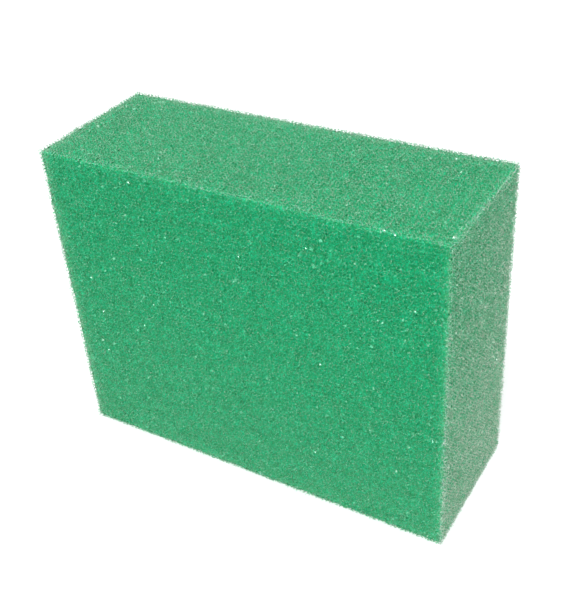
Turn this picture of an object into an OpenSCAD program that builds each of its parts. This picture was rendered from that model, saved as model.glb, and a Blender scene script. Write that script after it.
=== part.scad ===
// Foam brick: one block of open-cell foam, sawn square, standing on a long narrow face.
// Origin: centre of the bottom face. X runs along the length, Y through the thickness
// from the front to the back, Z up.

/* [Block] */
// Length of the block, left to right
block_length = 230; // [150:1:350]
// Height of the block as it stands
block_height = 182; // [80:1:300]
// Thickness of the block, front to back
block_thickness = 83; // [40:1:150]

/* [Cut edges] */
// How far wear breaks the twelve cut edges, measured along each face
edge_wear = 0.8; // [0.2:0.1:3]

/* [Hidden] */

foam_green = [0.13, 0.60, 0.38];

// A rectangle about the origin with its four corners cut off by edge_wear.
module worn_rectangle(width, depth) {
    x = width / 2;
    y = depth / 2;
    polygon([
        [x, y - edge_wear],
        [x - edge_wear, y],
        [edge_wear - x, y],
        [-x, y - edge_wear],
        [-x, edge_wear - y],
        [edge_wear - x, -y],
        [x - edge_wear, -y],
        [x, edge_wear - y]
    ]);
}

// A bar of that section, centred, running up Z.
module worn_bar(width, depth, run) {
    linear_extrude(height = run, center = true) worn_rectangle(width, depth);
}

// Three bars cross, one along each direction. What they share is the block with all of
// its edges broken.
module foam_block() {
    color(foam_green)
    translate([0, 0, block_height / 2])
    intersection() {
        worn_bar(block_length, block_thickness, block_height);
        rotate([90, 0, 0]) worn_bar(block_length, block_height, block_thickness);
        rotate([0, 90, 0]) worn_bar(block_height, block_thickness, block_length);
    }
}

foam_block();
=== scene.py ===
"""Looks of the foam brick: a block of green open-cell foam, sawn square, on a pale floor.

Real foam of this kind is a net of thin struts with open windows between them. The outer layer
of the block is built that way, strut by strut, from a lattice of foam cells that is bent and
scattered at random and then sawn off flat at the block's faces. A few windows keep a thin
shiny film. Behind that layer lies a closed core with a pitted surface, which stands for the
foam further in.
"""

import math

import bpy
import numpy as np
from mathutils import Matrix, Vector
from mathutils.geometry import delaunay_2d_cdt


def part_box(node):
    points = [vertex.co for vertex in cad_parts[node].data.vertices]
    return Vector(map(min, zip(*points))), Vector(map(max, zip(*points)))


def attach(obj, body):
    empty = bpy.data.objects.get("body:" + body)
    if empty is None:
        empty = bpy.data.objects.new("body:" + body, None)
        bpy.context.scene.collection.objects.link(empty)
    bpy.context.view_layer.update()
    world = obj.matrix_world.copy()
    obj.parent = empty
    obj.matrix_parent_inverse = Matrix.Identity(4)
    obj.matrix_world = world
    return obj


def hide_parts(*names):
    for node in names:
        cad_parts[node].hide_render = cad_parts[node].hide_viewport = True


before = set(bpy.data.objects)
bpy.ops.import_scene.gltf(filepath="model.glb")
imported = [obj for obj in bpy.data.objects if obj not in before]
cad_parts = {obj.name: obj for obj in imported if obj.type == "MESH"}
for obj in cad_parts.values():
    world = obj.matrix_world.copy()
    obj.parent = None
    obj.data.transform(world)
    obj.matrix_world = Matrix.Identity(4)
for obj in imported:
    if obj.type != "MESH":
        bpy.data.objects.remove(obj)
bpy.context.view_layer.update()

BLOCK = "foam_block"
SEED = 7

# The net of struts. Lengths are in metres.
WINDOW = 0.00155  # width of the windows between the foam's cells, corner to corner
LATTICE_STEP = WINDOW / 2.8  # neighbouring cells are 3.5 or 4 steps apart, about 2 mm
LATTICE_TURN = (("Z", 1.1), ("Y", 0.7), ("X", 0.4))  # radians, so that no face lies along it
MARGIN = 3 * LATTICE_STEP  # how far beyond the layer the lattice is laid out
STRUT = 0.00013  # radius of a strut
STRUT_SPREAD = 0.25  # share by which the radius varies from joint to joint
LAYER = 0.0011  # depth of the layer that is built strut by strut
SCATTER = 1.15  # how far a joint strays from its place, in lattice steps
BEND_LENGTHS = (0.005, 0.012)  # wavelengths of the lattice's bending
BEND = 0.00010  # how far each bending wave moves it
BEND_WAVES = 16
WEAR = 0.0008  # radius of the block's worn edges
GROWTH = 0.0007  # how far the sawn faces stand out of the CAD block's
OVERSHOOT = 0.0017  # how far a cut strut end stands out of the sawn face at most
OVERSHOOT_POWER = 1.5  # the higher, the fewer of them that do
CUT_STEPS = 12  # halvings in the search for the place where a strut is cut

# The films that are left in some windows.
FILM_SHARE = 0.05  # share of the windows that have one
FILM_SHARE_ENDS = 0.16  # the same near the two end faces
FILM_SHARE_EDGES = 0.3  # and along the block's edges
FILM_EDGE = 0.002  # how far that reaches
FILM_DEPTH = 0.0012  # films deeper than this are left out
FILM_HALF_THICKNESS = 0.00001
FILM_BULGE = 0.00008

# The core.
CORE_CELL = 0.00225  # pitch of its pits
CORE_INSET = 0.0005
PIT_DEPTH = (0.45, 0.6)  # in pitches
PIT_DEPTH_AT_EDGE = 0.3  # share of that depth along the core's edges
PIT_EDGE_REACH = 2  # how far that reaches, in pitches
CREST_SPREAD = 0.08  # how unevenly the crests between the pits stand, in pitches
STATION_SPREAD = 0.2  # how unevenly the pits along an edge follow each other
MIDDLE_SPREAD = 0.2  # how far the other pits stray from their rows, in pitches
MIDDLE_LIMIT = 0.4  # and how far at most
MIRROR_REACH = 3  # how far from an edge the pits are mirrored, in pitches
MERGE_GAP = 0.12  # joints of the pits closer than this become one, in pitches
SAME_PLACE = 1e-3  # closer than this they are in the same place, in pitches
ON_BORDER = 1e-4  # closer than this to the border they lie on it, in pitches
LEAST_CROSS = 1e-18  # square metres, so that nothing is divided by zero

UV_GAP = 0.01  # between the faces in the UV map, in lengths of the block

# Colours of the foam, and of the floor.
STRUT_DARK = (0.003, 0.33, 0.095)
STRUT_LIGHT = (0.012, 0.80, 0.44)
FILM_DARK = (0.02, 0.42, 0.19)
FILM_LIGHT = (0.16, 0.68, 0.42)
CORE_DARK = (0.004, 0.34, 0.12)
CORE_LIGHT = (0.008, 0.74, 0.36)
# The colour of the painted light: painted sheen, glow and highlights that stand for light on the
# foam.
PAINTED_LIGHT_DIM = (0.42, 0.46, 0.38)
PAINTED_LIGHT_BRIGHT = (0.80, 0.94, 0.80)
# Colour of the painted glints on a few clumps.
PAINTED_GLINT = (0.68, 0.88, 0.74)
FLOOR = (0.97, 0.97, 0.97)

# Gloss of each kind of foam: roughness, and specular level.
STRUT_GLOSS = (0.4, 0.3)
FILM_GLOSS = (0.14, 0.8)
CORE_GLOSS = (0.6, 0.3)
FLOOR_ROUGHNESS = 0.8
ROUGHNESS_SCALE = 900  # of the noise in the roughness, per metre
ROUGHNESS_SPREAD = 0.1
ROUGHNESS_NOISE = (0.3, 0.7)  # values of the noise between which the roughness goes that far
BUMP_SCALE = 3000  # of the fine unevenness of each strut, per metre
BUMP = 0.00004
BUMP_STRENGTH = 0.1

GRAIN_SCALE = 1700  # clumps of the grain in the colour, per metre
GRAIN_SHARE = 0.5  # how much of the tone it makes
TONE_POWER = 2.0  # the higher, the fewer the light struts and clumps
BLOTCH_SCALE = 220  # of the broad unevenness of the painted light, per metre
BLOTCH_RANGE = (0.75, 1.25)  # how much less or more of it there is
BLOTCH_NOISE = (0.35, 0.65)  # values of the noise between which it goes that far
VEIL_RANGE = (0, 2)  # how much less or more of it there is from clump to clump
PAINTED_GLINTS = 0.6  # painted glints: how pale the palest clumps are
PAINTED_GLINT_POWER = 13.0  # the higher, the fewer of them

# How much painted light lies on the foam: 0 is plain green, 1 is as pale as the colours above
# allow.
TOP_SHEEN = 0.222  # painted sheen on the top, where the top catches more light
FOOT_BOUNCE = 0.08  # painted bounce light from the floor towards the foot of the block
END_SHEEN = 0.575  # painted sheen on the two end faces, standing for the reflection of the bright floor
END_SHEEN_FOOT = 0.75  # how much stronger that painted sheen is at the foot than at the top
END_SHEEN_BACK = 0.14  # how much stronger it is at the back than in the middle
LEFT_GLARE = 0.02  # painted glare towards the left end
TIP_HIGHLIGHT = 0.35  # painted highlight at the tips of cut struts
EDGE_GLOW = 0.09  # painted glow of light through the thin foam along the block's edges, but not along the front top edge
EDGE_GLOW_WIDTH = 0.002
FAR_EDGE_GLOW = 0.32  # painted glow of light through the thin foam along the edges of the back and of the left end
FAR_EDGE_GLOW_WIDTH = 0.003
FAR_TIP_HIGHLIGHT = 0.4  # painted highlight at the tips of cut struts there
SHEEN_DEPTH = 0.0009  # how deep the painted sheen of top and ends reaches

# How much light goes into the foam and comes out elsewhere: 0 is none, 1 is all of it.
THIN_REACH = (0.0002, 0.0006, 0.0003)  # how far red, green and blue light goes in it
THIN_EDGE = 0.65  # along the block's edges
THIN_EDGE_WIDTH = 0.0025
THIN_TIP = 0.5  # more at the tips of cut struts there

# Lights. A place is an azimuth, 0 straight in front of the block, and an elevation, in degrees.
LIGHT_AIM = (0, 0, 0.09)
KEY_FROM = (20, 57)
KEY_SPREAD = 18
KEY_POWER = 2.2
RIM_FROM = (115, 25)
RIM_DISTANCE = 1.3
RIM_SIZE = 0.5
RIM_POWER = 1
GLINT_FROM = (0, 50)  # a small lamp, which the films reflect as glints
GLINT_DISTANCE = 1.2
GLINT_SIZE = 0.04
GLINT_POWER = 1.2
WORLD = 0.72
FLOOR_SIZE = 80

AZIMUTH, ELEVATION, ROLL = 32.7, 34.4, -4.2
CAMERA_DISTANCE = 0.534
CAMERA_AIM = Vector((0.0035, 0.0085, 0.091))
LENS = 57.5
CLIP_START = 0.01


# ---------------------------------------------------------------- lattice of foam cells


def lattice_axes():
    """The lattice's own axes."""
    turn = Matrix.Identity(3)
    for axis, angle in LATTICE_TURN:
        turn = turn @ Matrix.Rotation(angle, 3, axis)
    return np.array(turn)


def lattice_joints(half, axes):
    """Whole-number places of the joints of a space-filling foam of fourteen-sided cells, for the
    layer just under the block's faces. Each joint has one coordinate that is a multiple of
    four, one that is two more than that, and one that is odd."""
    reach = int(np.linalg.norm(half) / LATTICE_STEP) + 4
    steps = np.arange(-reach, reach + 1)
    j, k = (grid.ravel() for grid in np.meshgrid(steps, steps, indexing="ij"))
    found = []
    for i in steps:
        if i % 2:
            fits = ((j % 4 == 0) & (k % 4 == 2)) | ((j % 4 == 2) & (k % 4 == 0))
        else:
            partner = (i + 2) % 4
            fits = ((j % 4 == partner) & (k % 2 == 1)) | ((k % 4 == partner) & (j % 2 == 1))
        slab = np.column_stack([np.full(fits.sum(), i), j[fits], k[fits]])
        places = slab @ axes.T * LATTICE_STEP
        inside = (half + MARGIN - np.abs(places)).min(1)
        found.append(slab[(inside > 0) & (inside < LAYER + 2 * MARGIN)])
    return np.concatenate(found)


def lattice_key(joints):
    """One whole number for each joint, for looking it up. No coordinate reaches 1024."""
    shifted = joints + 1024
    return (shifted[:, 0] * 2048 + shifted[:, 1]) * 2048 + shifted[:, 2]


def look_up(keys, wanted):
    """Index of each wanted key among the sorted keys, or -1."""
    index = np.minimum(np.searchsorted(keys, wanted), len(keys) - 1)
    return np.where(keys[index] == wanted, index, -1)


def bent(places, rng):
    """The places moved by a few random waves."""
    moved = places.copy()
    for _ in range(BEND_WAVES):
        heading = rng.normal(size=3)
        heading *= 2 * math.pi / (np.linalg.norm(heading) * rng.uniform(*BEND_LENGTHS))
        push = rng.normal(size=3) * BEND
        phase = rng.uniform(0, 2 * math.pi)
        moved += np.sin(places @ heading + phase)[:, None] * push
    return moved


def foam_net(half, axes, rng):
    """The joints in whole numbers, sorted by key, with their keys and places, and the pairs of
    joints that a strut connects."""
    joints = lattice_joints(half, axes)
    keys = lattice_key(joints)
    order = np.argsort(keys)
    joints, keys = joints[order], keys[order]
    places = bent(joints @ axes.T * LATTICE_STEP, rng)
    places += (rng.random(places.shape) + rng.random(places.shape) - 1) * SCATTER * LATTICE_STEP
    pairs = []
    for step in ((1, 1, 0), (1, -1, 0), (1, 0, 1), (1, 0, -1), (0, 1, 1), (0, 1, -1)):
        partner = look_up(keys, lattice_key(joints + np.array(step)))
        have = partner >= 0
        pairs.append(np.column_stack([np.flatnonzero(have), partner[have]]))
    return joints, keys, places, np.concatenate(pairs)


def height_over(points, half):
    """Height over the block's surface with its worn edges, negative inside the block."""
    beyond = np.abs(points) - (half - WEAR)
    outside = np.linalg.norm(np.maximum(beyond, 0), axis=-1)
    return outside + np.minimum(beyond.max(-1), 0) - WEAR


# ---------------------------------------------------------------- struts


# Corners of the four sides of a tetrahedron, each side opposite one corner, seen from outside.
SIDES = np.array([[1, 2, 3], [0, 3, 2], [0, 1, 3], [0, 2, 1]])


def cells_around(joints):
    """Middles, in whole numbers, of the four cells that meet at each joint."""
    rows = np.arange(len(joints))
    rest = joints % 4
    zero, two = (rest == 0).argmax(1), (rest == 2).argmax(1)
    odd = 3 - zero - two
    step = np.where(rest[rows, odd] == 1, -1, 1)
    cells = np.repeat(joints[:, None], 4, axis=1)
    for slot, (axis, move) in enumerate(((two, 2), (two, -2), (zero, 2), (zero, -2))):
        cells[rows, slot, odd] += step if slot < 2 else -step
        cells[rows, slot, axis] += move
    return cells


def knobs_of(joints, cells, places, axes, rng):
    """The four corners of each joint's small tetrahedron, which point into the cells around it,
    and which tetrahedra are left-handed."""
    arms = (cells - joints[:, None]) @ axes.T
    left_handed = np.linalg.det(arms[:, 1:] - arms[:, :1]) < 0
    radius = STRUT * rng.uniform(1 - STRUT_SPREAD, 1 + STRUT_SPREAD, len(joints))
    knobs = places[:, None] + arms / math.sqrt(5) * radius[:, None, None]
    return knobs.reshape(-1, 3), left_handed


def sides_seen(slot, left_handed):
    """Corners of the side opposite each slot, in order as seen from outside."""
    side = SIDES[slot]
    side[left_handed] = side[left_handed][:, ::-1]
    return side


def struts_kept(places, pairs, height, half):
    """The two joints of each strut that is built, the deeper one first. That one lies inside
    the block, and the strut's middle lies in the outer layer."""
    swap = height[pairs[:, 0]] > height[pairs[:, 1]]
    near, far = np.where(swap[:, None], pairs[:, ::-1], pairs).T
    middle_height = height_over((places[near] + places[far]) / 2, half)
    keep = (height[near] < 0) & (middle_height > -LAYER)
    return near[keep], far[keep]


def strut_rings(cells, near, far, left_handed):
    """The three knobs at each end of each strut, in matching order, and the slots of the knobs
    there that point away from it."""
    keys = lattice_key(cells.reshape(-1, 3)).reshape(-1, 4)
    same = keys[near][:, :, None] == keys[far][:, None, :]
    near_slot = (~same.any(2)).argmax(1)
    far_slot = (~same.any(1)).argmax(1)
    side = sides_seen(near_slot, left_handed[near])
    partner = same.argmax(2)[np.arange(len(near))[:, None], side]
    return 4 * near[:, None] + side, 4 * far[:, None] + partner, near_slot, far_slot


def cut_share(start, end, half, overshoot):
    """How much of each strut is left from its start, which is inside, to where it is sawn off."""
    low, high = np.zeros(len(start)), np.ones(len(start))
    high[height_over(end, half) < overshoot] = 2
    for _ in range(CUT_STEPS):
        middle = (low + high) / 2
        inside = height_over(start + (end - start) * middle[:, None], half) < overshoot
        low, high = np.where(inside, middle, low), np.where(inside, high, middle)
    return np.minimum(low, 1)


def sawn_share(places, near, far, half, rng):
    """The same for struts that end outside. Some stand out a little, but none at the bottom."""
    overshoot = OVERSHOOT * rng.random(len(near)) ** OVERSHOOT_POWER
    overshoot[places[far, 2] < -half[2]] = 0
    return cut_share(places[near], places[far], half, overshoot)


def bar_walls(near_ring, far_ring):
    """The three sides of each strut."""
    walls = []
    for k in range(3):
        after = (k + 1) % 3
        corners = near_ring[:, k], near_ring[:, after], far_ring[:, after], far_ring[:, k]
        walls.append(np.stack(corners, 1))
    return np.concatenate(walls)


def open_sides(taken, left_handed):
    """The sides where no strut meets a joint that has some."""
    joint, slot = np.nonzero(~taken & taken.any(1)[:, None])
    return 4 * joint[:, None] + sides_seen(slot, left_handed[joint])


def only_used(vertices, walls, caps):
    """The vertices that some face uses, and the faces with their new numbers."""
    used, index = np.unique(np.concatenate([walls.ravel(), caps.ravel()]), return_inverse=True)
    walls_end = walls.size
    return vertices[used], [index[:walls_end].reshape(-1, 4), index[walls_end:].reshape(-1, 3)]


def strut_mesh(joints, places, pairs, axes, half, rng):
    """The struts as one skin. Each joint is a small tetrahedron whose corners point into the
    four cells around it, and each strut a three-sided bar between two of their sides."""
    cells = cells_around(joints)
    knobs, left_handed = knobs_of(joints, cells, places, axes, rng)
    height = height_over(places, half)
    near, far = struts_kept(places, pairs, height, half)
    near_ring, far_ring, near_slot, far_slot = strut_rings(cells, near, far, left_handed)

    whole = height[far] < 0
    sawn = ~whole
    share = sawn_share(places, near[sawn], far[sawn], half, rng)[:, None, None]
    cut = knobs[near_ring[sawn]] * (1 - share) + knobs[far_ring[sawn]] * share
    far_ring[sawn] = len(knobs) + np.arange(3 * sawn.sum()).reshape(-1, 3)

    taken = np.zeros((len(joints), 4), bool)
    taken[near, near_slot] = True
    taken[far[whole], far_slot[whole]] = True
    lids = open_sides(taken, left_handed)
    caps = np.concatenate([far_ring[sawn], lids])
    strut = rng.random(len(near))
    tone = np.concatenate([np.tile(strut, 3), strut[sawn], np.zeros(len(lids))])
    vertices = np.concatenate([knobs, cut.reshape(-1, 3)])
    vertices, faces = only_used(vertices, bar_walls(near_ring, far_ring), caps)
    return vertices, faces, tone


# ---------------------------------------------------------------- films


def window_corners():
    """Corners of a cell's windows from the cell's middle: three squares, then eight hexagons."""
    squares, hexagons = [], []
    for axis in range(3):
        ring = np.zeros((4, 3), int)
        ring[:, axis] = 2
        ring[[0, 2], (axis + 1) % 3] = 1, -1
        ring[[1, 3], (axis + 2) % 3] = 1, -1
        squares.append(ring)
    ring = np.array([[0, 1, 2], [1, 0, 2], [2, 0, 1], [2, 1, 0], [1, 2, 0], [0, 2, 1]])
    for x in (1, -1):
        for y in (1, -1):
            for z in (1, -1):
                hexagons.append(ring * (x, y, z))
    return squares, hexagons


def windows_near_surface(ring, owners, keys, height):
    """The joints around each window with that ring of corners, one window for each owner cell,
    where it lies inside the block and near its surface."""
    corners = np.stack([look_up(keys, lattice_key(owners + step)) for step in ring], 1)
    corners = corners[(corners >= 0).all(1)]
    corners = corners[(height[corners] < 0).all(1)]
    return corners[height[corners].mean(1) > -FILM_DEPTH]


def film_chance(middle, half):
    """How likely a window with that middle is to keep its film."""
    to_faces = half - np.abs(middle)
    chance = np.where(to_faces[:, 0] < FILM_DEPTH, FILM_SHARE_ENDS, FILM_SHARE)
    return np.where(np.sort(to_faces, axis=1)[:, 1] < FILM_EDGE, FILM_SHARE_EDGES, chance)


def lenses(rim, rng):
    """A thin closed lens in each rim, bulging a little to one side."""
    count, n = rim.shape[:2]
    middle = rim.mean(1)
    from_middle = rim - middle[:, None]
    out = np.cross(from_middle, np.roll(from_middle, -1, axis=1)).sum(1)
    out /= np.linalg.norm(out, axis=1)[:, None]
    bulge = FILM_BULGE * rng.uniform(-1, 1, (count, 1))
    front = middle + out * (bulge + FILM_HALF_THICKNESS)
    back = middle + out * (bulge - FILM_HALF_THICKNESS)
    vertices = np.concatenate([rim, front[:, None], back[:, None]], axis=1)
    k = np.arange(n)
    after = (k + 1) % n
    front_fan = np.stack([k, after, np.full(n, n)], 1)
    back_fan = np.stack([after, k, np.full(n, n + 1)], 1)
    first = (n + 2) * np.arange(count)
    faces = first[:, None, None] + np.concatenate([front_fan, back_fan])
    return vertices.reshape(-1, 3), faces.reshape(-1, 3), np.repeat(rng.random(count), 2 * n)


def film_mesh(joints, keys, places, half, rng):
    """The films over some of the windows."""
    cells = np.unique(cells_around(joints).reshape(-1, 3), axis=0)
    even = (cells % 4 == 0).all(1)
    squares, hexagons = window_corners()
    height = height_over(places, half)
    vertices, faces, tones = [], [], []
    total = 0
    for rings, owners in ((squares, cells), (hexagons, cells[even])):
        for ring in rings:
            corners = windows_near_surface(ring, owners, keys, height)
            chance = film_chance(places[corners].mean(1), half)
            rim = places[corners[rng.random(len(corners)) < chance]]
            lens, fans, tone = lenses(rim, rng)
            vertices.append(lens)
            faces.append(total + fans)
            tones.append(tone)
            total += len(lens)
    return np.concatenate(vertices), [np.concatenate(faces)], np.concatenate(tones)


# ---------------------------------------------------------------- core: cells of one flat face


def edge_stations(length, rng):
    """Where the pits along one edge of the core have their middles."""
    gaps = round((length - CORE_CELL) / CORE_CELL)
    steps = 1 + STATION_SPREAD * rng.uniform(-1, 1, gaps)
    steps *= (length - CORE_CELL) / steps.sum()
    return CORE_CELL / 2 + np.concatenate([[0], np.cumsum(steps)])


def inner_middles(width, height, rng):
    """Middles of the pits away from the edges: staggered rows, each point moved at random."""
    row = CORE_CELL * math.sqrt(3) / 2
    margin = CORE_CELL / 2 + row
    rows = round((height - 2 * margin) / row) + 1
    points = []
    for i, v in enumerate(np.linspace(margin, height - margin, rows)):
        count = round((width - 2 * margin) / CORE_CELL) + 1
        u = np.linspace(margin, width - margin, count)
        if i % 2:
            u = (u[1:] + u[:-1]) / 2
        points.append(np.column_stack([u, np.full(len(u), v)]))
    points = np.concatenate(points)
    stray = rng.normal(0, MIDDLE_SPREAD, points.shape)
    return points + np.clip(stray, -MIDDLE_LIMIT, MIDDLE_LIMIT) * CORE_CELL


def with_mirrors(points, width, height):
    """The points, and after them the mirror images of those near each edge of the face."""
    reach = MIRROR_REACH * CORE_CELL
    for axis, length in ((0, width), (1, height)):
        flip = np.where(np.arange(2) == axis, -1.0, 1.0)
        low = points[points[:, axis] < reach] * flip
        high = points[points[:, axis] > length - reach] * flip
        high[:, axis] += 2 * length
        points = np.concatenate([points, low, high])
    return points


def circumcentres(a, b, c):
    """Centres of the circles through three arrays of points."""
    b, c = b - a, c - a
    cross = 2 * (b[:, 0] * c[:, 1] - b[:, 1] * c[:, 0])
    cross[np.abs(cross) < LEAST_CROSS] = LEAST_CROSS
    bb, cc = (b * b).sum(1), (c * c).sum(1)
    x = (c[:, 1] * bb - b[:, 1] * cc) / cross
    y = (b[:, 0] * cc - c[:, 0] * bb) / cross
    return a + np.column_stack([x, y])


def shared_sides(triangles):
    """The two triangles on each inner side."""
    sides = np.sort(triangles[:, [[0, 1], [1, 2], [2, 0]]].reshape(-1, 2), axis=1)
    owner = np.repeat(np.arange(len(triangles)), 3)
    order = np.lexsort((sides[:, 1], sides[:, 0]))
    same = (sides[order[1:]] == sides[order[:-1]]).all(1)
    return owner[order[:-1][same]], owner[order[1:][same]]


def merged(joints, border, triangles):
    """A label for each joint. Close neighbours share one, but a joint on the border of the face
    only joins its exact double, so that the next face finds it in the same place."""
    one, two = shared_sides(triangles)
    gap = np.linalg.norm(joints[one] - joints[two], axis=1)
    limit = np.where(border[one] | border[two], SAME_PLACE, MERGE_GAP) * CORE_CELL
    close = gap < limit
    one, two = one[close], two[close]
    label = np.arange(len(joints))
    while True:
        lowest = np.minimum(label[one], label[two])
        before = label.copy()
        np.minimum.at(label, one, lowest)
        np.minimum.at(label, two, lowest)
        if (label == before).all():
            return label


def voronoi_joints(every, triangles, width, height):
    """The place of each triangle's joint, and the label of the joint it is merged with."""
    joints = circumcentres(*(every[triangles[:, k]] for k in range(3)))
    size = np.array([width, height])
    tiny = ON_BORDER * CORE_CELL
    border = ((np.abs(joints) < tiny) | (np.abs(joints - size) < tiny)).any(1)
    label = merged(joints, border, triangles)
    total = np.zeros_like(joints)
    np.add.at(total, label, joints)
    members = np.bincount(label, minlength=len(joints))
    return total[label] / members[label, None], label


def voronoi(points, width, height):
    """Joints of the Voronoi cells of the face, and each corner of each cell in turn, as the
    cell's number and the joint's."""
    every = with_mirrors(points, width, height)
    spread = [Vector(p) for p in every / CORE_CELL]
    triangles = np.array(delaunay_2d_cdt(spread, [], [], 0, 1e-7)[2])
    joints, label = voronoi_joints(every, triangles, width, height)

    cell = triangles.reshape(-1)
    joint = label[np.repeat(np.arange(len(triangles)), 3)]
    mine = cell < len(points)
    cell, joint = cell[mine], joint[mine]
    from_middle = joints[joint] - every[cell]
    angle = np.arctan2(from_middle[:, 1], from_middle[:, 0])
    order = np.lexsort((joint, np.round(angle, 7), cell))
    cell, joint = cell[order], joint[order]
    starts = np.concatenate([[True], cell[1:] != cell[:-1]])
    last = np.concatenate([np.flatnonzero(starts)[1:] - 1, [len(cell) - 1]])
    before = np.roll(joint, 1)
    before[starts] = joint[last]
    distinct = joint != before
    cell, joint = cell[distinct], joint[distinct]
    used, joint = np.unique(joint, return_inverse=True)
    return joints[used], cell, joint


# ---------------------------------------------------------------- core: all six faces


def other_axes(axis):
    """The two axes that lie in a face across that one."""
    return (other for other in range(3) if other != axis)


def face_middles(size, axis, side, stations, rng):
    """Middles of one face's pits, flat. Those along its edges are shared with its neighbours."""
    u, v = other_axes(axis)
    rows = []
    for v_side, place in enumerate((CORE_CELL / 2, size[v] - CORE_CELL / 2)):
        sides = (side, v_side) if axis < v else (v_side, side)
        along = stations[u, sides]
        rows.append(np.column_stack([along, np.full(len(along), place)]))
    for u_side, place in enumerate((CORE_CELL / 2, size[u] - CORE_CELL / 2)):
        sides = (side, u_side) if axis < u else (u_side, side)
        along = stations[v, sides][1:-1]
        rows.append(np.column_stack([np.full(len(along), place), along]))
    rows.append(inner_middles(size[u], size[v], rng))
    return np.concatenate(rows)


def turned_round(joint, counts):
    """The corners of each pit in the opposite order."""
    ends = np.cumsum(counts)
    turn = [np.arange(end - 1, end - count - 1, -1) for end, count in zip(ends, counts)]
    return joint[np.concatenate(turn)]


def face_cells(low, high, axis, side, stations, rng):
    """The joints' places on one face, and for each corner of each of its pits in turn the
    pit's number and the joint's. Last, the outward direction of each pit."""
    u, v = other_axes(axis)
    size = high - low
    middles = face_middles(size, axis, side, stations, rng)
    flat, cell, joint = voronoi(middles, size[u], size[v])
    place = np.zeros((len(flat), 3))
    place[:, axis] = high[axis] if side else low[axis]
    place[:, u] = low[u] + flat[:, 0]
    place[:, v] = low[v] + flat[:, 1]
    normal = np.zeros(3)
    normal[axis] = 1 if side else -1
    counts = np.bincount(cell)
    if np.cross(np.eye(3)[u], np.eye(3)[v])[axis] * normal[axis] < 0:
        joint = turned_round(joint, counts)
    return place, cell, joint, np.repeat(normal[None], len(counts), axis=0)


def core_cells(low, high, rng):
    """The same for all six faces, with joints on a border of two faces counted once."""
    stations = {}
    for axis in range(3):
        for sides in ((0, 0), (0, 1), (1, 0), (1, 1)):
            stations[axis, sides] = edge_stations((high - low)[axis], rng)

    places, cells, corners, normals = [], [], [], []
    joint_total = cell_total = 0
    for axis in range(3):
        for side in (0, 1):
            place, cell, joint, normal = face_cells(low, high, axis, side, stations, rng)
            places.append(place)
            cells.append(cell + cell_total)
            corners.append(joint + joint_total)
            normals.append(normal)
            joint_total += len(place)
            cell_total += len(normal)

    places = np.concatenate(places)
    keys = np.round(places / (SAME_PLACE * CORE_CELL)).astype(np.int64)
    _, first, label = np.unique(keys, axis=0, return_index=True, return_inverse=True)
    joint = label.reshape(-1)[np.concatenate(corners)]
    return places[first], np.concatenate(cells), joint, np.concatenate(normals)


def core_mesh(low, high, rng):
    """A closed mesh, with one pit for each cell."""
    places, cell, joint, out = core_cells(low, high, rng)
    cells = len(out)
    crest = places + rng.normal(0, CREST_SPREAD, places.shape) * CORE_CELL
    crest[:, 2] = np.maximum(crest[:, 2], low[2] - CORE_INSET)
    count = np.bincount(cell, minlength=cells)
    sums = [np.bincount(cell, crest[joint, k], cells) for k in range(3)]
    middle = np.column_stack(sums) / count[:, None]
    depth = rng.uniform(*PIT_DEPTH, (cells, 1)) * CORE_CELL
    to_faces = np.sort(np.minimum(high - middle, middle - low), axis=1)[:, 1:2]
    depth *= np.clip(to_faces / (PIT_EDGE_REACH * CORE_CELL), PIT_DEPTH_AT_EDGE, 1)
    floor = middle - out * depth
    starts = np.flatnonzero(np.concatenate([[True], cell[1:] != cell[:-1]]))
    after = np.arange(1, len(cell) + 1)
    after[np.concatenate([starts[1:], [len(cell)]]) - 1] = starts
    fan = np.column_stack([joint, joint[after], len(places) + cell])
    return np.concatenate([crest, floor]), [fan], rng.random(len(fan))


# ---------------------------------------------------------------- meshes


def mesh_of(name, vertices, face_lists, smooth):
    """A mesh from arrays of faces, each array with one number of corners."""
    loops = np.concatenate([faces.ravel() for faces in face_lists])
    sizes = np.concatenate([np.full(len(faces), faces.shape[1]) for faces in face_lists])
    starts = np.concatenate([[0], np.cumsum(sizes)[:-1]])
    mesh = bpy.data.meshes.new(name)
    mesh.vertices.add(len(vertices))
    mesh.vertices.foreach_set("co", vertices.ravel())
    mesh.loops.add(len(loops))
    mesh.loops.foreach_set("vertex_index", loops.astype(np.int32))
    mesh.polygons.add(len(sizes))
    mesh.polygons.foreach_set("loop_start", starts.astype(np.int32))
    mesh.polygons.foreach_set("use_smooth", np.full(len(sizes), smooth))
    mesh.update(calc_edges=True)
    return mesh


def read_mesh(mesh):
    """The place of each face corner, and for each face its first corner and their number."""
    vertex = np.empty(len(mesh.loops), np.int32)
    mesh.loops.foreach_get("vertex_index", vertex)
    places = np.empty(3 * len(mesh.vertices))
    mesh.vertices.foreach_get("co", places)
    starts = np.empty(len(mesh.polygons), np.int32)
    mesh.polygons.foreach_get("loop_start", starts)
    return places.reshape(-1, 3)[vertex], starts, np.diff(np.append(starts, len(vertex)))


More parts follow.
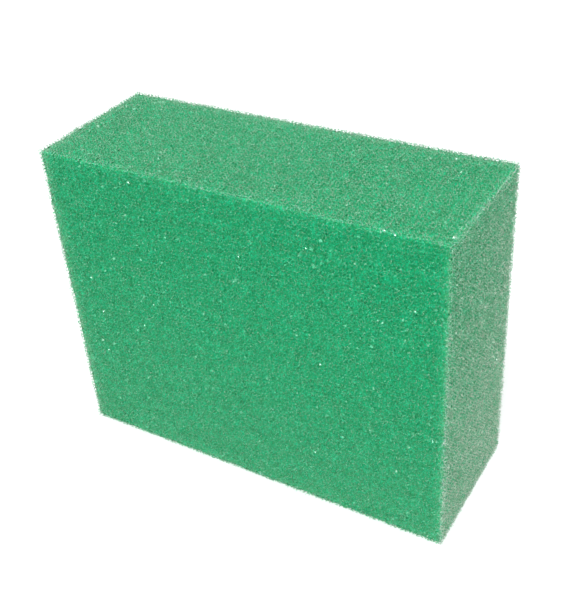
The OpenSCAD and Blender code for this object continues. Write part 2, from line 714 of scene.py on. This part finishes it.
def unfold(mesh, low, high):
    """Gives the mesh a UV map with the six faces of the block laid out side by side: the long
    sides in the first row, then top and bottom, then the ends, each turned to lie flat."""
    size = high - low
    gap = UV_GAP * size[0]
    places, starts, corners = read_mesh(mesh)
    places -= low
    middle = np.add.reduceat(places, starts) / corners[:, None] - size / 2
    axis = (np.abs(middle) - size / 2).argmax(1)
    side = middle[np.arange(len(axis)), axis] > 0
    axis, side = np.repeat(axis, corners), np.repeat(side, corners)
    across = np.choose(axis, (places[:, 2], places[:, 0], places[:, 0]))
    up = np.choose(axis, (places[:, 1], places[:, 2], places[:, 1]))
    row = np.choose(axis, (size[2] + size[1] + 2 * gap, 0, size[2] + gap))
    uv = np.column_stack([across + side * (size[0] + gap), up + row]) + gap
    layer = mesh.uv_layers.new(name="OFBake")
    layer.data.foreach_set("uv", (uv / (2 * size[0] + 3 * gap)).astype(np.float32).ravel())


def add_values(mesh, name, values, domain="POINT"):
    """A number for each vertex or face, for the material to read."""
    layer = mesh.attributes.new(name, "FLOAT", domain)
    layer.data.foreach_set("value", values.astype(np.float32))


# ---------------------------------------------------------------- where light is painted on the foam, and where the foam is thin


def fading(depth, reach):
    """1 at the surface and falling off with depth."""
    return np.exp(-((np.maximum(depth, 0) / reach) ** 2))


def along_edges(to_face, inside, width):
    """1 at an edge of the block and less further from it. Only edges of some faces count, and
    to_face is how far away the nearest of those faces is."""
    distance = np.maximum(to_face, np.sort(inside, axis=1)[:, 1])
    return np.exp(-np.maximum(distance, 0) / width)


def standing_out(places, half):
    """How far each place stands out of the sawn faces: 0 is not at all, 1 as far as any."""
    return np.clip(height_over(places, half) / OVERSHOOT, 0, 1)


def painted_light_share(places, half):
    """How much painted light lies on the foam at each place: painted sheen on the two ends and on
    top, painted glow along the edges, painted highlights at cut tips, painted glare towards the
    left end and painted floor bounce towards the foot. Each kind lies over the others like one
    more thin veil."""
    x, y, z = places.T
    inside = half - np.abs(places)
    foot = np.clip(0.5 - 0.5 * z / half[2], 0, 1)
    end = END_SHEEN * (1 + END_SHEEN_FOOT * (foot - 0.5) + END_SHEEN_BACK * y / half[1])
    end *= fading(inside[:, 0], SHEEN_DEPTH)
    top = TOP_SHEEN * fading(half[2] - z, SHEEN_DEPTH)
    not_front_top = np.minimum(np.minimum(inside[:, 0], half[1] - y), half[2] + z)
    far = along_edges(np.minimum(half[0] + x, half[1] - y), inside, FAR_EDGE_GLOW_WIDTH)
    tips = np.sqrt(standing_out(places, half))
    # Each veil is painted light: sheen on the ends and top, highlights at cut tips, glow along
    # the edges, glare towards the left end and floor bounce at the foot.
    veils = (
        np.clip(np.maximum(end, top), 0, 1),
        TIP_HIGHLIGHT * tips,
        FAR_TIP_HIGHLIGHT * tips * far,
        EDGE_GLOW * along_edges(not_front_top, inside, EDGE_GLOW_WIDTH),
        FAR_EDGE_GLOW * far,
        LEFT_GLARE * (0.5 - 0.5 * x / half[0]),
        FOOT_BOUNCE * foot**2,
    )
    clear = np.ones(len(places))
    for veil in veils:
        clear *= 1 - veil
    return 1 - clear


def thinness(places, half):
    """How much light goes into the foam at each place: more along the edges and at cut tips."""
    inside = half - np.abs(places)
    edges = along_edges(inside.min(1), inside, THIN_EDGE_WIDTH)
    return np.minimum((THIN_EDGE + THIN_TIP * standing_out(places, half)) * edges, 1)


# ---------------------------------------------------------------- materials


def colour_mix(nodes, links, share, low, high):
    """A colour between two, each of them a plain colour or another node's output."""
    mix = nodes.new("ShaderNodeMix")
    mix.data_type = "RGBA"
    links.new(share, mix.inputs[0])
    for socket, colour in ((mix.inputs[6], low), (mix.inputs[7], high)):
        if isinstance(colour, tuple):
            socket.default_value = (*colour, 1)
        else:
            links.new(colour, socket)
    return mix.outputs[2]


def noise(nodes, links, scale):
    """A noise in the object's own space, the same on every piece of the block."""
    place = nodes.new("ShaderNodeTexCoord")
    texture = nodes.new("ShaderNodeTexNoise")
    texture.inputs["Scale"].default_value = scale
    links.new(place.outputs["Object"], texture.inputs["Vector"])
    return texture.outputs["Fac"]


def attribute(nodes, name):
    """The number that the mesh has for each vertex or face under that name."""
    node = nodes.new("ShaderNodeAttribute")
    node.attribute_name = name
    return node.outputs["Fac"]


def mapped(nodes, links, value, low, high, start=0, end=1):
    """The value with start to end turned into low to high, and nothing beyond them."""
    node = nodes.new("ShaderNodeMapRange")
    links.new(value, node.inputs["Value"])
    node.inputs["From Min"].default_value = start
    node.inputs["From Max"].default_value = end
    node.inputs["To Min"].default_value = low
    node.inputs["To Max"].default_value = high
    return node.outputs["Result"]


def maths(nodes, links, kind, one, two):
    """Sum, product or power of two values, each of them a number or another node's output."""
    node = nodes.new("ShaderNodeMath")
    node.operation = kind
    for socket, value in zip(node.inputs, (one, two)):
        if isinstance(value, (int, float)):
            socket.default_value = value
        else:
            links.new(value, socket)
    return node.outputs[0]


def grain_values(nodes, links):
    """Three numbers from 0 to 1 that change at random from one tiny clump of foam to the next."""
    place = nodes.new("ShaderNodeTexCoord")
    clumps = nodes.new("ShaderNodeTexVoronoi")
    clumps.inputs["Scale"].default_value = GRAIN_SCALE
    links.new(place.outputs["Object"], clumps.inputs["Vector"])
    split = nodes.new("ShaderNodeSeparateColor")
    links.new(clumps.outputs["Color"], split.inputs["Color"])
    return split.outputs[0], split.outputs[1], split.outputs[2]


def foam_colour(nodes, links, dark, light, glint_share):
    """Green whose tone runs from dark to light, partly strut by strut and partly clump by
    clump. The colour of the painted light comes in where painted sheen, glow and highlights
    lie, unevenly, and painted glints on a few clumps everywhere."""
    first, second, third = grain_values(nodes, links)
    tone = mapped(nodes, links, attribute(nodes, "tone"), 0, 1 - GRAIN_SHARE)
    grain = mapped(nodes, links, first, 0, GRAIN_SHARE)
    tone = maths(nodes, links, "ADD", tone, grain)
    tone = maths(nodes, links, "POWER", tone, TONE_POWER)
    green = colour_mix(nodes, links, tone, dark, light)

    uneven = noise(nodes, links, BLOTCH_SCALE)
    blotches = mapped(nodes, links, uneven, *BLOTCH_RANGE, *BLOTCH_NOISE)
    veil = maths(nodes, links, "MULTIPLY", attribute(nodes, "painted_light"), blotches)
    veil = maths(nodes, links, "MULTIPLY", veil, mapped(nodes, links, second, *VEIL_RANGE))
    # The colour of the painted light, mixed in where the painted sheen, glow and highlights lie.
    painted_light = colour_mix(nodes, links, third, PAINTED_LIGHT_DIM, PAINTED_LIGHT_BRIGHT)
    green = colour_mix(nodes, links, mapped(nodes, links, veil, 0, 1), green, painted_light)

    # Painted glints on a few clumps.
    rare = maths(nodes, links, "POWER", third, PAINTED_GLINT_POWER)
    return colour_mix(nodes, links, mapped(nodes, links, rare, 0, glint_share), green, PAINTED_GLINT)


def foam_bump(nodes, links):
    """Fine unevenness of the struts."""
    bump = nodes.new("ShaderNodeBump")
    bump.inputs["Strength"].default_value = BUMP_STRENGTH
    bump.inputs["Distance"].default_value = BUMP
    links.new(noise(nodes, links, BUMP_SCALE), bump.inputs["Height"])
    return bump.outputs["Normal"]


def foam_material(name, dark, light, glint_share, gloss):
    """Green foam that lets a little light through where it is thin."""
    material = bpy.data.materials.new(name)
    material.use_nodes = True
    nodes, links = material.node_tree.nodes, material.node_tree.links
    shader = nodes["Principled BSDF"]
    colour = foam_colour(nodes, links, dark, light, glint_share)
    links.new(colour, shader.inputs["Base Color"])
    links.new(attribute(nodes, "thin"), shader.inputs["Subsurface Weight"])
    shader.inputs["Subsurface Radius"].default_value = THIN_REACH
    shader.inputs["Subsurface Scale"].default_value = 1.0
    roughness, specular = gloss
    shader.inputs["Specular IOR Level"].default_value = specular
    smoothest, roughest = roughness - ROUGHNESS_SPREAD, roughness + ROUGHNESS_SPREAD
    uneven = noise(nodes, links, ROUGHNESS_SCALE)
    rough = mapped(nodes, links, uneven, smoothest, roughest, *ROUGHNESS_NOISE)
    links.new(rough, shader.inputs["Roughness"])
    links.new(foam_bump(nodes, links), shader.inputs["Normal"])
    return material


def floor_material():
    material = bpy.data.materials.new("floor_paper")
    material.use_nodes = True
    shader = material.node_tree.nodes["Principled BSDF"]
    shader.inputs["Base Color"].default_value = (*FLOOR, 1)
    shader.inputs["Roughness"].default_value = FLOOR_ROUGHNESS
    return material


# ---------------------------------------------------------------- the foam


def add_piece(name, form, block, half, centre, material, smooth=True):
    """One piece of the foam. Its form is its vertices about the centre, its faces and the tone
    of each face."""
    low, high = block
    vertices, faces, tone = form
    # How much painted light lies on each place, and how much light goes into the foam there.
    painted_light, thin = painted_light_share(vertices, half), thinness(vertices, half)
    vertices = vertices + centre
    vertices[:, 2] = np.maximum(vertices[:, 2], low[2])
    mesh = mesh_of(name, vertices, faces, smooth)
    add_values(mesh, "tone", tone, "FACE")
    add_values(mesh, "painted_light", painted_light)
    add_values(mesh, "thin", thin)
    unfold(mesh, low, high)
    mesh.materials.append(material)
    piece = bpy.data.objects.new(name, mesh)
    bpy.context.scene.collection.objects.link(piece)
    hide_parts(BLOCK)
    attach(piece, "root")


def make_foam():
    """The struts, the films and the core. The sawn faces stand a little out of the CAD block's,
    but not at the bottom."""
    low, high = (np.array(corner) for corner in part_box(BLOCK))
    half = (high - low) / 2 + (GROWTH, GROWTH, GROWTH / 2)
    centre = (high + low) / 2 + (0, 0, GROWTH / 2)
    place = (low, high), half, centre
    rng = np.random.default_rng(SEED)
    axes = lattice_axes()
    joints, keys, places, pairs = foam_net(half, axes, rng)

    struts = strut_mesh(joints, places, pairs, axes, half, rng)
    material = foam_material("foam_strut", STRUT_DARK, STRUT_LIGHT, PAINTED_GLINTS, STRUT_GLOSS)
    add_piece("foam_struts", struts, *place, material)

    films = film_mesh(joints, keys, places, half, rng)
    material = foam_material("foam_film", FILM_DARK, FILM_LIGHT, PAINTED_GLINTS, FILM_GLOSS)
    add_piece("foam_films", films, *place, material, smooth=False)

    core = core_mesh(low + CORE_INSET - centre, high - CORE_INSET - centre, rng)
    material = foam_material("foam_deep", CORE_DARK, CORE_LIGHT, 0, CORE_GLOSS)
    add_piece("foam_core", core, *place, material)


# ---------------------------------------------------------------- stage, lights and camera


def make_floor():
    bpy.ops.mesh.primitive_plane_add(size=FLOOR_SIZE)
    floor = bpy.context.object
    floor.name = "floor"
    floor.data.materials.append(floor_material())


def direction(azimuth, elevation):
    """Unit vector from the block towards a place at those angles, in degrees."""
    turn, rise = math.radians(azimuth), math.radians(elevation)
    flat = math.cos(rise)
    return Vector((math.sin(turn) * flat, -math.cos(turn) * flat, math.sin(rise)))


def add_lamp(name, light, towards):
    """A lamp that shines from that direction."""
    lamp = bpy.data.objects.new(name, light)
    lamp.rotation_euler = towards.to_track_quat("Z", "Y").to_euler()
    bpy.context.scene.collection.objects.link(lamp)
    return lamp


def area_light(name, towards, distance, size, power):
    """A round lamp at that distance from the block."""
    light = bpy.data.lights.new(name, "AREA")
    light.shape = "DISK"
    light.size = size
    light.energy = power
    lamp = add_lamp(name, light, towards)
    lamp.location = Vector(LIGHT_AIM) + towards * distance


def make_lights():
    sun = bpy.data.lights.new("key", "SUN")
    sun.energy = KEY_POWER
    sun.angle = math.radians(KEY_SPREAD)
    add_lamp("key", sun, direction(*KEY_FROM))
    area_light("rim", direction(*RIM_FROM), RIM_DISTANCE, RIM_SIZE, RIM_POWER)
    area_light("glint", direction(*GLINT_FROM), GLINT_DISTANCE, GLINT_SIZE, GLINT_POWER)
    world = bpy.data.worlds.new("studio")
    bpy.context.scene.world = world
    world.use_nodes = True
    world.node_tree.nodes["Background"].inputs["Color"].default_value = (1, 1, 1, 1)
    world.node_tree.nodes["Background"].inputs["Strength"].default_value = WORLD


def make_camera():
    """A camera that looks at its aim from those angles, rolled a little about its own axis."""
    data = bpy.data.cameras.new("camera")
    data.lens = LENS
    data.clip_start = CLIP_START
    camera = bpy.data.objects.new("camera", data)
    back = direction(AZIMUTH, ELEVATION)
    azimuth = math.radians(AZIMUTH)
    level = Vector((math.cos(azimuth), math.sin(azimuth), 0))
    upright = Matrix((level, back.cross(level), back)).transposed()
    turn = upright @ Matrix.Rotation(math.radians(ROLL), 3, "Z")
    camera.matrix_world = Matrix.Translation(CAMERA_AIM + back * CAMERA_DISTANCE) @ turn.to_4x4()
    bpy.context.scene.collection.objects.link(camera)
    bpy.context.scene.camera = camera


make_camera()
make_foam()
make_floor()
make_lights()
bpy.context.scene.view_settings.view_transform = "Standard"
